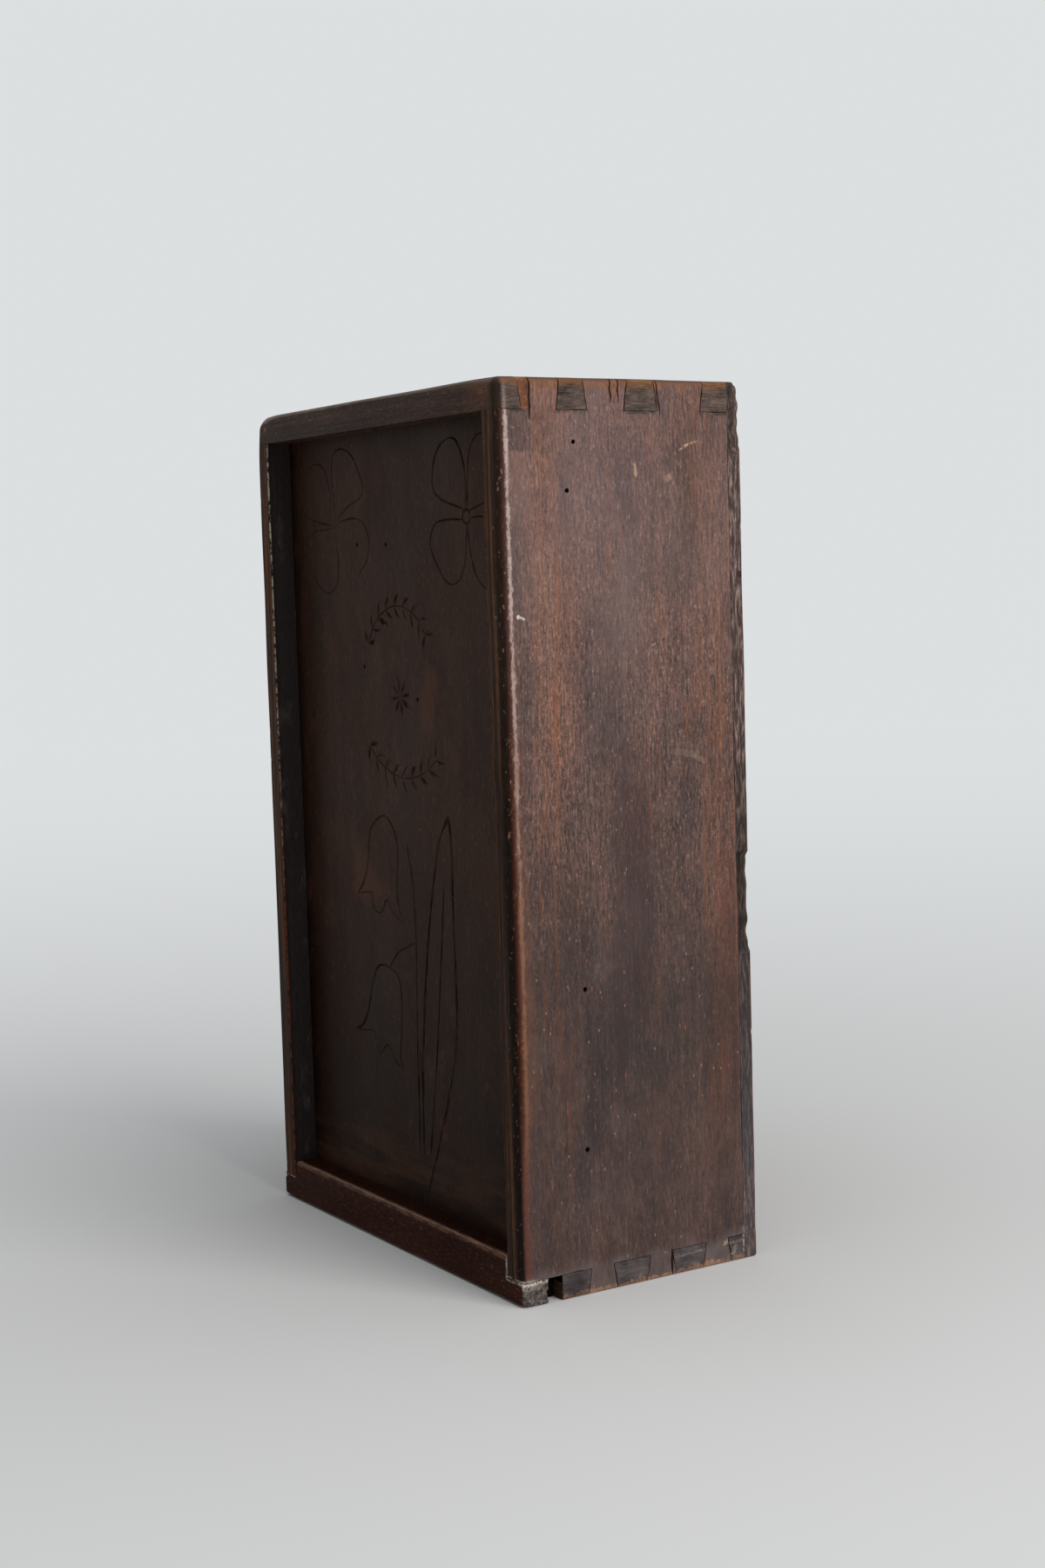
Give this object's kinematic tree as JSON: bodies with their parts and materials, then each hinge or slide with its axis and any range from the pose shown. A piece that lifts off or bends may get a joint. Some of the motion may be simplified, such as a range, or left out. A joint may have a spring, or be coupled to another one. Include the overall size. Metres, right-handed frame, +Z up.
{
  "type": "candle box",
  "caption": "Dovetailed wooden candle box standing on its end, with a flat sliding lid that runs in grooves and ends in a strip across the open end.",
  "frame": {"origin": "centre of the foot: the middle of the box's width and depth, on the face that it stands on", "axes": "+Z up the box's length, towards the closed end; the lid faces -Y; +X is to the right of someone facing the lid"},
  "size_m": [0.204, 0.112, 0.35],
  "materials": {
    "side_wood": "old stained and worn",
    "end_wood": "old stained and worn",
    "back_wood": "old stained and worn",
    "shim_wood": "bare worn wood",
    "lid_wood": "dark rubbed stain",
    "strip_wood": "dark rubbed stain",
    "nail_iron": "rusted"
  },
  "bodies": {
    "case": {"left_side": "side_wood", "right_side": "side_wood", "top_end": "end_wood", "bottom_end": "end_wood", "back_board": "back_wood", "back_nails": "nail_iron", "dovetail_shim": "shim_wood"},
    "lid": {"lid_board": "lid_wood", "lid_end_strip": "strip_wood", "strip_brads": "nail_iron"}
  },
  "joints": [
    {"name": "lid_slide", "type": "slide", "parent": "case", "child": "lid", "axis": [0, 0, -1], "range_m": [0, 0.345]}
  ]
}
